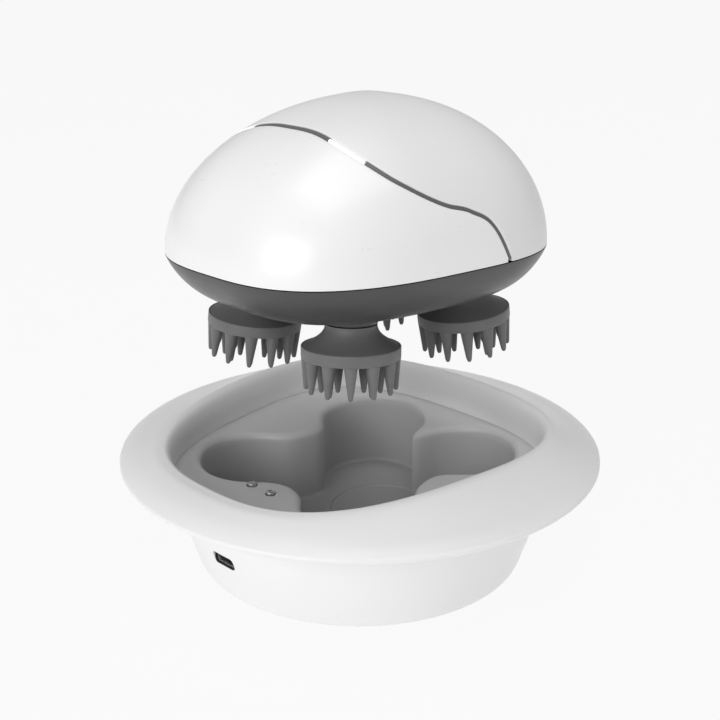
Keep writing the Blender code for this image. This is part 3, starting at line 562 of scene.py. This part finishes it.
def make_collar():
    """Thick rolled rim: from the wall of the egg-shaped recess over its crest out to a circle."""
    angles = around(288)
    inner = plan_reach(angles) + RECESS_MARGIN
    span = RIM_RADIUS - inner
    lift = SIDE_CREST - NOSE_CREST_DROP * np.clip(-np.sin(angles), 0, 1) ** 2
    seen = [ring_at(angles, inner, height * MM) for height in (32.65, 35.2, 37.4)]
    for share, height, lifted in (
            (0.02, 39.4, 0.4), (0.06, 41.0, 0.8), (0.12, 41.8, 1.0), (0.2, 41.7, 1.0), (0.32, 41.0, 0.6),
            (0.5, 39.6, 0.25), (0.68, 38.2, 0), (0.84, 36.9, 0), (0.94, 35.9, 0), (0.99, 35.3, 0),
            (1.0, 34.7, 0)):
        seen.append(ring_at(angles, inner + span * share, height * MM + lift * lifted))
    for radius, height in ((74.1, 33.9), (72.4, 33.0), (69.0, 32.3), (62.1, 31.6)):
        seen.append(ring_at(angles, np.full_like(inner, radius * MM), height * MM))
    rings = list(flowing(seen, 4))
    for radius, height in ((62.1, 33.2), (69.0, 34.2)):
        rings.append(ring_at(angles, np.full_like(inner, radius * MM), height * MM))
    rings.append(ring_at(angles, inner + span * 0.55, 37.2 * MM))
    rings.append(ring_at(angles, inner + 3.0 * MM, 38.2 * MM))
    rings.append(ring_at(angles, inner + 1.8 * MM, 33.0 * MM))
    place("collar", skin("collar", rings, closed=True), "dock_white", "dock", "dock_collar")


def tray_top(x, y):
    """Height of the tray: nearly flat, then sloping up to the ledge under the collar."""
    share = plan_share(x, y)
    return np.interp(share, (0.80, 0.90, 0.985), (TRAY_HEIGHT, 31.4 * MM, LEDGE_HEIGHT))


def make_tray():
    """Grey tray with the four-lobed well: soft lip, upright walls, flat floor with a round recess."""
    angles = around(432)
    plan = plan_reach(angles)
    outer = plan + RECESS_MARGIN + 0.1 * MM
    lip = 2.0 * MM

    def tray_ring(radii, below=0.0):
        heights = tray_top(radii * np.cos(angles), radii * np.sin(angles)) - below
        return ring_at(angles, radii, heights)

    edge = well_reach(angles, lip)
    foot, wall = 1.3 * MM, 1.3 * MM
    floor_edge = well_reach(angles, -foot)
    rings = [ring_at(angles, floor_edge * share, FLOOR_HEIGHT) for share in (0.08, 0.4, 0.75)]
    for turn in np.linspace(PI / 2, 0, 8):
        radii = well_reach(angles, -foot * (1 - math.cos(turn)))
        rings.append(ring_at(angles, radii, FLOOR_HEIGHT + foot * (1 - math.sin(turn))))
    for height in (12, 18, 24):
        rings.append(ring_at(angles, well_reach(angles), height * MM))
    for turn in np.linspace(PI / 2, 0, 9):
        radii = well_reach(angles, lip * (1 - math.sin(turn)))
        rings.append(tray_ring(radii, lip * (1 - math.cos(turn))))
    shares = (0.80, 0.83, 0.86, 0.90, 0.93, 0.96, 0.985)
    for order, share in enumerate(shares, 1):
        rings.append(tray_ring(np.maximum(plan * share, edge + order * 0.08 * MM)))
    rings.append(ring_at(angles, outer, LEDGE_HEIGHT))
    rings.append(ring_at(angles, outer, LEDGE_HEIGHT - wall))
    rings.append(tray_ring(np.maximum(plan * 0.90, edge + 0.3 * MM), wall))
    rings.append(ring_at(angles, well_reach(angles, wall), TRAY_HEIGHT - lip - wall))
    rings.append(ring_at(angles, well_reach(angles, wall - 1.0 * MM), FLOOR_HEIGHT - wall))
    rings.append(ring_at(angles, np.full_like(outer, 3 * MM), FLOOR_HEIGHT - wall))
    tray = place("tray", skin("tray", rings, closed=False), "tray_grey", "dock", "dock_tray")
    cutters = [turned("hole", ((1.65 * MM, 20 * MM), (1.65 * MM, 40 * MM)), 48, False)
               for _ in (1, 2)]
    for number, mesh in enumerate(cutters, 1):
        low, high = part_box(f"contact_pin_{number}")
        mesh.transform(Matrix.Translation(((low.x + high.x) / 2, (low.y + high.y) / 2, 0)))
    disc = turned("disc", (
        (FLOOR_DISC_RADIUS - 0.25 * MM, FLOOR_HEIGHT - 0.4 * MM),
        (FLOOR_DISC_RADIUS, FLOOR_HEIGHT - 0.1 * MM),
        (FLOOR_DISC_RADIUS, FLOOR_HEIGHT + 2 * MM)), 128, False)
    disc.transform(Matrix.Translation((*FLOOR_DISC, 0)))
    carved(tray, cutters + [disc])


def slot_outline(width, height, corner, steps=8):
    """Points of a rounded rectangle about the origin, in the XZ plane."""
    points = []
    for x, z, start in ((1, 1, 0), (-1, 1, 90), (-1, -1, 180), (1, -1, 270)):
        centre = (x * (width / 2 - corner), z * (height / 2 - corner))
        points += corner_arc(centre, corner, start, start + 90, steps)
    return points


def make_shell():
    """Tapered outer wall with a rounded foot and a slot for the charging plug."""
    seen = [(SHELL_TOP_RADIUS, 31.3 * MM), (58.2 * MM, 22 * MM), (55.1 * MM, 12 * MM), (52.8 * MM, 5 * MM),
            (51.9 * MM, 2.2 * MM), (51.2 * MM, 0.9 * MM), (50.2 * MM, 0.3 * MM)]
    hidden = [(47.4 * MM, 0.3 * MM), (50.6 * MM, 4.2 * MM), (SHELL_TOP_RADIUS - 1.5 * MM, 31.3 * MM)]
    profile = [tuple(point) for point in flowing(seen, 5)] + hidden
    shell = place("shell", turned("shell", profile, 256), "dock_white", "dock", "dock_shell")
    outline = slot_outline(9.0 * MM, 4.2 * MM, 1.3 * MM)
    rings = [[(x, y, SOCKET_HEIGHT + z) for x, z in outline] for y in (-62 * MM, -46 * MM)]
    carved(shell, [skin("slot", rings)])


def make_slot_liner():
    """Thin black frame just inside the slot."""
    outer = slot_outline(8.9 * MM, 4.1 * MM, 1.25 * MM)
    inner = slot_outline(8.2 * MM, 3.4 * MM, 0.9 * MM)
    front, back = -55.7 * MM, -55.0 * MM
    rings = [[(x, y, SOCKET_HEIGHT + z) for x, z in outline]
             for outline, y in ((outer, back), (outer, front), (inner, front), (inner, back))]
    place("slot_liner", skin("slot_liner", rings, closed=True), "black_plastic", "dock", "socket_shell")


def make_socket():
    """The socket behind the slot: a folded steel shell with its tongue."""
    low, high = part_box("socket_shell")
    width, height = high.x - low.x, high.z - low.z
    outer = slot_outline(width, height, 0.8 * MM)
    inner = slot_outline(width - 0.8 * MM, height - 0.8 * MM, 0.5 * MM)
    middle = (low.z + high.z) / 2

    def at(outline, y, grow=0.0):
        return [(x * (1 + grow), y, middle + z * (1 + grow)) for x, z in outline]

    rings = [at(outer, high.y), at(outer, low.y + 0.3 * MM), at(outer, low.y, 0.03), at(inner, low.y, 0.03),
             at(inner, low.y + 0.4 * MM), at(inner, high.y - 0.8 * MM)]
    place("socket", skin("socket", rings), "steel", "dock", "socket_shell")
    low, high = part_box("socket_tongue")
    outline = slot_outline(high.x - low.x, high.z - low.z, 0.2 * MM, 4)
    middle = (low.z + high.z) / 2
    rings = [at(outline, high.y), at(outline, low.y + 0.2 * MM), at(outline, low.y, -0.08)]
    place("tongue", skin("tongue", rings), "black_plastic", "dock", "socket_tongue")


def make_base():
    """Base plate with a rounded edge and its rubber ring; the screws have domed heads with a cross."""
    low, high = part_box("base_plate")
    radius = high.x
    profile = [(0.3 * MM, low.z)] + corner_arc((radius - 0.4 * MM, low.z + 0.4 * MM), 0.4 * MM, -90, 0)
    profile += [(radius, high.z), (0.3 * MM, high.z)]
    plate = place("plate", turned("plate", profile, 128, False), "black_plastic", "dock", "base_plate")
    holes = []
    for number in (1, 2, 3, 4):
        low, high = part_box(f"base_screw_{number}")
        hole = turned("hole", ((1.6 * MM, 0), (1.6 * MM, 5 * MM)), 32, False)
        hole.transform(Matrix.Translation(((low.x + high.x) / 2, (low.y + high.y) / 2, 0)))
        holes.append(hole)
        make_screw(number, low, high)
    carved(plate, holes)
    low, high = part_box("foot_ring")
    outer, inner, top = high.x, high.x - 5 * MM, high.z
    profile = corner_arc((outer - 0.5 * MM, 0.5 * MM), 0.5 * MM, 0, -90)
    profile += corner_arc((inner + 0.5 * MM, 0.5 * MM), 0.5 * MM, 270, 180)
    profile += [(inner, top), (outer, top)]
    place("foot", turned("foot", profile, 160), "rubber", "dock", "foot_ring")


def make_screw(number, low, high):
    """Domed screw with a ribbed shank and a cross cut in its head."""
    head, shank = (high.x - low.x) / 2, 1.3 * MM
    profile = [(0.15 * MM, 0.0), (head * 0.55, 0.05 * MM), (head * 0.85, 0.2 * MM), (head, 0.5 * MM),
               (head, 0.8 * MM), (shank, 0.8 * MM)]
    turns = 6
    for i in range(turns):
        height = 0.9 * MM + i * (high.z - low.z - 1.2 * MM) / turns
        profile += [(shank, height), (shank - 0.2 * MM, height + 0.25 * MM)]
    profile += [(shank, high.z - low.z - 0.2 * MM), (0.6 * MM, high.z - low.z)]
    mesh = turned("screw", profile, 48, False)
    mesh.transform(Matrix.Translation(((low.x + high.x) / 2, (low.y + high.y) / 2, low.z)))
    screw = place(f"screw_{number}", mesh, "steel", "dock", f"base_screw_{number}")
    arms = []
    for size in ((3.0 * MM, 0.5 * MM), (0.5 * MM, 3.0 * MM)):
        shape = bmesh.new()
        bmesh.ops.create_cube(shape, size=1.0)
        bmesh.ops.scale(shape, vec=(*size, 0.9 * MM), verts=shape.verts)
        spot = ((low.x + high.x) / 2, (low.y + high.y) / 2, low.z)
        bmesh.ops.translate(shape, vec=spot, verts=shape.verts)
        arms.append(mesh_from("arm", shape))
    carved(screw, arms)


def make_contact_pins():
    """Sprung pins with a dished crown, each standing in a sleeve under the tray."""
    for number in (1, 2):
        low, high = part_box(f"contact_pin_{number}")
        radius, centre = (high.x - low.x) / 2, (low + high) / 2
        top = high.z - low.z
        profile = [(0.15 * MM, 0), (radius, 0), (radius, top - 0.45 * MM)]
        profile += corner_arc((radius - 0.35 * MM, top - 0.45 * MM), 0.35 * MM, 10, 90)
        profile += [
            (radius * 0.55, top - 0.16 * MM), (radius * 0.3, top - 0.26 * MM), (0.1 * MM, top - 0.3 * MM)]
        mesh = turned("pin", profile, 64, False)
        mesh.transform(Matrix.Translation((centre.x, centre.y, low.z)))
        node = f"contact_pin_{number}"
        place(f"pin_{number}", mesh, SLOTS[node], node, node)
        low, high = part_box(f"pin_sleeve_{number}")
        outer, bore, top = (high.x - low.x) / 2, 1.6 * MM, high.z - low.z
        soft = corner_arc((outer - 0.2 * MM, top - 0.2 * MM), 0.2 * MM, 0, 90, 4)
        profile = [(bore, 0), (outer, 0)] + soft + [(bore, top)]
        mesh = turned("sleeve", profile, 64)
        mesh.transform(Matrix.Translation((centre.x, centre.y, low.z)))
        place(f"sleeve_{number}", mesh, "black_plastic", "dock", f"pin_sleeve_{number}")


# ---------------------------------------------------------------- materials

def new_surface(name):
    """A material with its shader and a Texture Coordinate node's object output."""
    made = bpy.data.materials.new(name)
    made.use_nodes = True
    nodes = made.node_tree.nodes
    return made, nodes["Principled BSDF"], nodes.new("ShaderNodeTexCoord").outputs["Object"]


def add_node(made, kind, inputs=None, **settings):
    node = made.node_tree.nodes.new(kind)
    for key, value in settings.items():
        setattr(node, key, value)
    for key, value in (inputs or {}).items():
        if isinstance(value, bpy.types.NodeSocket):
            made.node_tree.links.new(value, node.inputs[key])
        else:
            node.inputs[key].default_value = value
    return node


def noise(made, coordinates, scale, detail=4.0, roughness=0.5):
    inputs = {"Vector": coordinates, "Scale": scale, "Detail": detail, "Roughness": roughness}
    return add_node(made, "ShaderNodeTexNoise", inputs).outputs["Fac"]


def stretched(made, coordinates, scale):
    return add_node(made, "ShaderNodeMapping", {"Vector": coordinates, "Scale": scale}).outputs["Vector"]


def ramp(made, source, stops):
    """A colour ramp from (position, grey or colour) stops."""
    node = add_node(made, "ShaderNodeValToRGB", {"Fac": source})
    bar = node.color_ramp
    while len(bar.elements) < len(stops):
        bar.elements.new(0.5)
    for element, (position, value) in zip(bar.elements, stops):
        element.position = position
        colour = value if isinstance(value, tuple) else (value, value, value)
        element.color = (*colour, 1.0)
    return node.outputs["Color"]


def link(made, source, socket):
    made.node_tree.links.new(source, socket)


def bump(made, shader, height, strength, distance):
    node = add_node(made, "ShaderNodeBump", {"Height": height, "Strength": strength, "Distance": distance})
    link(made, node.outputs["Normal"], shader.inputs["Normal"])


def moulded(name, colour, roughness, spread, grain, grain_depth, coat=0.0, mottling=0.012, subsurface=0.0):
    """Moulded plastic: faint mottling in colour, uneven gloss, and a fine surface grain."""
    made, shader, at = new_surface(name)
    cloud = noise(made, at, 38, 5)
    low, high = [tuple(c * (1 + sign * mottling) for c in colour) for sign in (-1, 1)]
    link(made, ramp(made, cloud, ((0.3, low), (0.7, high))), shader.inputs["Base Color"])
    smear = noise(made, stretched(made, at, (1.0, 1.0, 2.2)), 90, 6, 0.6)
    link(made, ramp(made, smear, ((0.32, roughness - spread), (0.68, roughness + spread))),
         shader.inputs["Roughness"])
    bump(made, shader, noise(made, at, grain, 3, 0.6), 0.35, grain_depth)
    shader.inputs["Coat Weight"].default_value = coat
    shader.inputs["Coat Roughness"].default_value = 0.30
    if subsurface:
        shader.inputs["Subsurface Weight"].default_value = subsurface
        shader.inputs["Subsurface Radius"].default_value = (1.0, 1.0, 1.0)
        shader.inputs["Subsurface Scale"].default_value = 0.0015
    return made


def tray_plastic_with_painted_shade():
    """Pale grey moulding with painted shade: its colour darkens deeper down in the wells."""
    made = moulded("tray_grey", grey(0.63), 0.42, 0.05, 1200, 0.015 * MM)
    shader = made.node_tree.nodes["Principled BSDF"]
    at = made.node_tree.nodes["Texture Coordinate"].outputs["Object"]
    # painted shade: the colour is multiplied darker from the tray's height down to the well floor
    height = add_node(made, "ShaderNodeSeparateXYZ", {"Vector": at}).outputs["Z"]
    depth = add_node(made, "ShaderNodeMapRange", {
        "Value": height, "From Min": FLOOR_HEIGHT, "From Max": TRAY_HEIGHT}).outputs["Result"]
    painted_shade = add_node(made, "ShaderNodeMix", {"Factor": 1.0}, data_type="RGBA", blend_type="MULTIPLY")
    link(made, shader.inputs["Base Color"].links[0].from_socket, painted_shade.inputs["A"])
    link(made, ramp(made, depth, ((0.0, 0.68), (0.88, 0.80), (1.0, 1.0))), painted_shade.inputs["B"])
    link(made, painted_shade.outputs["Result"], shader.inputs["Base Color"])
    return made


def silicone():
    """Matt silicone: soft sheen, moulding grain, and finer dust-like flecks."""
    made, shader, at = new_surface("silicone")
    cloud = noise(made, at, 160, 5)
    link(made, ramp(made, cloud, ((0.3, 0.125), (0.7, 0.150))), shader.inputs["Base Color"])
    link(made, ramp(made, noise(made, at, 420, 4), ((0.3, 0.50), (0.7, 0.66))), shader.inputs["Roughness"])
    bump(made, shader, noise(made, at, 2600, 3, 0.7), 0.4, 0.03 * MM)
    shader.inputs["Sheen Weight"].default_value = 0.25
    shader.inputs["Sheen Roughness"].default_value = 0.5
    shader.inputs["Subsurface Weight"].default_value = 0.04
    shader.inputs["Subsurface Scale"].default_value = 0.001
    return made


def metal(name, colour, roughness, stretch=(1.0, 1.0, 14.0)):
    """Drawn or turned metal: lines of polish along one direction and a little tarnish."""
    made, shader, at = new_surface(name)
    lines = noise(made, stretched(made, at, stretch), 420, 4, 0.7)
    dull = tuple(c * 0.82 for c in colour)
    tarnish = noise(made, at, 260, 5)
    link(made, ramp(made, tarnish, ((0.25, dull), (0.7, colour))), shader.inputs["Base Color"])
    polish = ((0.3, roughness * 0.7), (0.7, roughness * 1.5))
    link(made, ramp(made, lines, polish), shader.inputs["Roughness"])
    bump(made, shader, lines, 0.25, 0.01 * MM)
    shader.inputs["Metallic"].default_value = 1.0
    return made


def rubber():
    """Dull black rubber with a coarse grain."""
    made, shader, at = new_surface("rubber")
    cloud = noise(made, at, 300, 6)
    link(made, ramp(made, cloud, ((0.3, 0.035), (0.7, 0.06))), shader.inputs["Base Color"])
    link(made, ramp(made, noise(made, at, 900, 4), ((0.3, 0.72), (0.7, 0.9))), shader.inputs["Roughness"])
    bump(made, shader, noise(made, at, 1800, 4, 0.7), 0.5, 0.06 * MM)
    return made


def nylon():
    """Milky gear plastic with a slightly waxy gloss."""
    made, shader, at = new_surface("gear_nylon")
    link(made, ramp(made, noise(made, at, 150, 5), ((0.3, (0.70, 0.69, 0.64)), (0.7, (0.78, 0.77, 0.72)))),
         shader.inputs["Base Color"])
    link(made, ramp(made, noise(made, at, 500, 4), ((0.3, 0.34), (0.7, 0.46))), shader.inputs["Roughness"])
    bump(made, shader, noise(made, at, 1500, 3), 0.3, 0.02 * MM)
    shader.inputs["Subsurface Weight"].default_value = 0.2
    shader.inputs["Subsurface Scale"].default_value = 0.0015
    return made


def board():
    """Circuit board: green lacquer over a lattice of tracks and pads, with bare copper flecks."""
    made, shader, at = new_surface("board_green")
    cells = add_node(made, "ShaderNodeTexBrick", {
        "Vector": at, "Scale": 520.0, "Mortar Size": 0.09, "Color1": (0.03, 0.20, 0.09, 1),
        "Color2": (0.04, 0.25, 0.11, 1), "Mortar": (0.08, 0.36, 0.17, 1)})
    pads = add_node(made, "ShaderNodeTexVoronoi", {"Vector": at, "Scale": 420.0, "Randomness": 0.6})
    mask = ramp(made, pads.outputs["Distance"], ((0.10, 1.0), (0.14, 0.0)))
    mix = add_node(made, "ShaderNodeMix", {"Factor": mask}, data_type="RGBA")
    link(made, cells.outputs["Color"], mix.inputs["A"])
    mix.inputs["B"].default_value = (0.62, 0.50, 0.26, 1)
    link(made, mix.outputs["Result"], shader.inputs["Base Color"])
    link(made, ramp(made, mask, ((0.0, 0.42), (1.0, 0.25))), shader.inputs["Roughness"])
    bump(made, shader, cells.outputs["Fac"], 0.3, 0.03 * MM)
    return made


def battery_wrap():
    """Shrink film round the cell: blue, with lengthwise wrinkles and a soft shine."""
    made, shader, at = new_surface("battery_blue")
    creases = noise(made, stretched(made, at, (1.0, 6.0, 1.0)), 120, 5, 0.6)
    link(made, ramp(made, creases, ((0.3, (0.07, 0.17, 0.38)), (0.7, (0.12, 0.26, 0.50)))),
         shader.inputs["Base Color"])
    link(made, ramp(made, noise(made, at, 200, 4), ((0.3, 0.28), (0.7, 0.5))), shader.inputs["Roughness"])
    bump(made, shader, creases, 0.4, 0.1 * MM)
    return made


def light_guide():
    """Frosted light guide: milky, faintly lit, with a fine diffusing grain."""
    made, shader, at = new_surface("light_bar")
    link(made, ramp(made, noise(made, at, 500, 4), ((0.3, 0.90), (0.7, 0.97))), shader.inputs["Base Color"])
    link(made, ramp(made, noise(made, at, 1200, 3), ((0.3, 0.22), (0.7, 0.34))), shader.inputs["Roughness"])
    bump(made, shader, noise(made, at, 3000, 3), 0.2, 0.01 * MM)
    shader.inputs["Emission Color"].default_value = (1.0, 1.0, 1.0, 1.0)
    shader.inputs["Emission Strength"].default_value = 0.35
    return made


def grey(value):
    return (value, value, value)


SURFACES = {
    "gloss_white": moulded("gloss_white", grey(0.84), 0.30, 0.03, 260, 0.004 * MM, coat=0.5),
    "matt_white": moulded("matt_white", grey(0.78), 0.42, 0.04, 1400, 0.012 * MM, subsurface=0.05),
    "dock_white": moulded("dock_white", grey(0.84), 0.34, 0.04, 1200, 0.012 * MM, subsurface=0.05),
    "tray_grey": tray_plastic_with_painted_shade(),
    "dark_grey": moulded("dark_grey", grey(0.055), 0.34, 0.05, 1200, 0.015 * MM, mottling=0.05),
    "strip_grey": moulded("strip_grey", grey(0.115), 0.33, 0.05, 1500, 0.01 * MM, mottling=0.05),
    "hub_grey": moulded("hub_grey", grey(0.14), 0.5, 0.05, 1200, 0.02 * MM, mottling=0.05),
    "black_plastic": moulded("black_plastic", grey(0.018), 0.42, 0.06, 900, 0.02 * MM, mottling=0.15),
    "silicone": silicone(),
    "gear_nylon": nylon(),
    "steel": metal("steel", (0.62, 0.62, 0.63), 0.26),
    "brass": metal("brass", (0.78, 0.60, 0.28), 0.24),
    "board_green": board(),
    "battery_blue": battery_wrap(),
    "rubber": rubber(),
    "light_bar": light_guide(),
}


def finish_cad_nodes():
    """Gives every CAD node that is still shown the surface its record slot names."""
    for name, node in frame["nodes"].items():
        if node.hide_render:
            continue
        node.data.materials.clear()
        node.data.materials.append(SURFACES[SLOTS[name]])


# ---------------------------------------------------------------- studio

# brightness of the floor, of the backdrop as seen, and of the backdrop as a light
FLOOR_GLOW = 0.925
BACKDROP = 0.95
AMBIENT = 0.37


def make_floor():
    """A plain pale floor that fades to the same white as the backdrop."""
    shape = bmesh.new()
    bmesh.ops.create_grid(shape, x_segments=8, y_segments=8, size=6.0)
    mesh = mesh_from("floor", shape)
    floor = bpy.data.objects.new("floor", mesh)
    bpy.context.scene.collection.objects.link(floor)
    floor.location.z = CAD_LOW.z - 0.02 * MM
    made, shader, at = new_surface("floor")
    shade = ramp(made, noise(made, at, 3, 3), ((0.3, 0.030), (0.7, 0.034)))
    link(made, shade, shader.inputs["Base Color"])
    shader.inputs["Roughness"].default_value = 0.9
    shader.inputs["Specular IOR Level"].default_value = 0.0
    shader.inputs["Emission Color"].default_value = (1.0, 1.0, 1.0, 1.0)
    shader.inputs["Emission Strength"].default_value = FLOOR_GLOW
    mesh.materials.append(made)


def softbox(name, location, target, size, power):
    data = bpy.data.lights.new(name, "AREA")
    data.shape, data.size, data.size_y = "RECTANGLE", size[0], size[1]
    data.energy = power
    lamp = bpy.data.objects.new(name, data)
    bpy.context.scene.collection.objects.link(lamp)
    lamp.location = location
    lamp.rotation_mode = "QUATERNION"
    lamp.rotation_quaternion = (Vector(target) - Vector(location)).to_track_quat("-Z", "Y")
    return lamp


def make_studio():
    """White backdrop, a large key from the front left and above, and a weaker overhead fill."""
    world = bpy.data.worlds.new("studio")
    bpy.context.scene.world = world
    world.use_nodes = True
    backdrop = world.node_tree.nodes["Background"]
    backdrop.inputs["Color"].default_value = (1.0, 1.0, 1.0, 1.0)
    seen = world.node_tree.nodes.new("ShaderNodeLightPath")
    strength = world.node_tree.nodes.new("ShaderNodeMapRange")
    strength.inputs["To Min"].default_value = AMBIENT
    strength.inputs["To Max"].default_value = BACKDROP
    world.node_tree.links.new(seen.outputs["Is Camera Ray"], strength.inputs["Value"])
    world.node_tree.links.new(strength.outputs["Result"], backdrop.inputs["Strength"])
    middle = Vector((0, 0, 0.09))
    softbox("key", (0.22, -0.88, 0.40), middle, (0.7, 0.5), 4.3)
    softbox("top", (0.1, 0.0, 0.9), middle, (0.7, 0.7), 3.0)
    make_floor()


def make_camera():
    """Camera in front of the nose and to its right, looking slightly down."""
    data = bpy.data.cameras.new("camera")
    data.lens, data.sensor_width = 62.45, 36.0
    data.clip_start, data.clip_end = 0.01, 50.0
    camera = bpy.data.objects.new("camera", data)
    bpy.context.scene.collection.objects.link(camera)
    camera.location = (0.2544, -0.2556, 0.19595)
    camera.rotation_euler = (math.radians(69.81), 0.0, math.radians(44.86))
    bpy.context.scene.camera = camera
    bpy.context.scene.view_settings.view_transform = "Standard"


make_front_cover()
make_rear_cover()
make_inlay()
make_lower_housing()
make_charge_contacts()
make_heads()
make_collar()
make_tray()
make_shell()
make_slot_liner()
make_socket()
make_base()
make_contact_pins()
finish_cad_nodes()
make_camera()
make_studio()
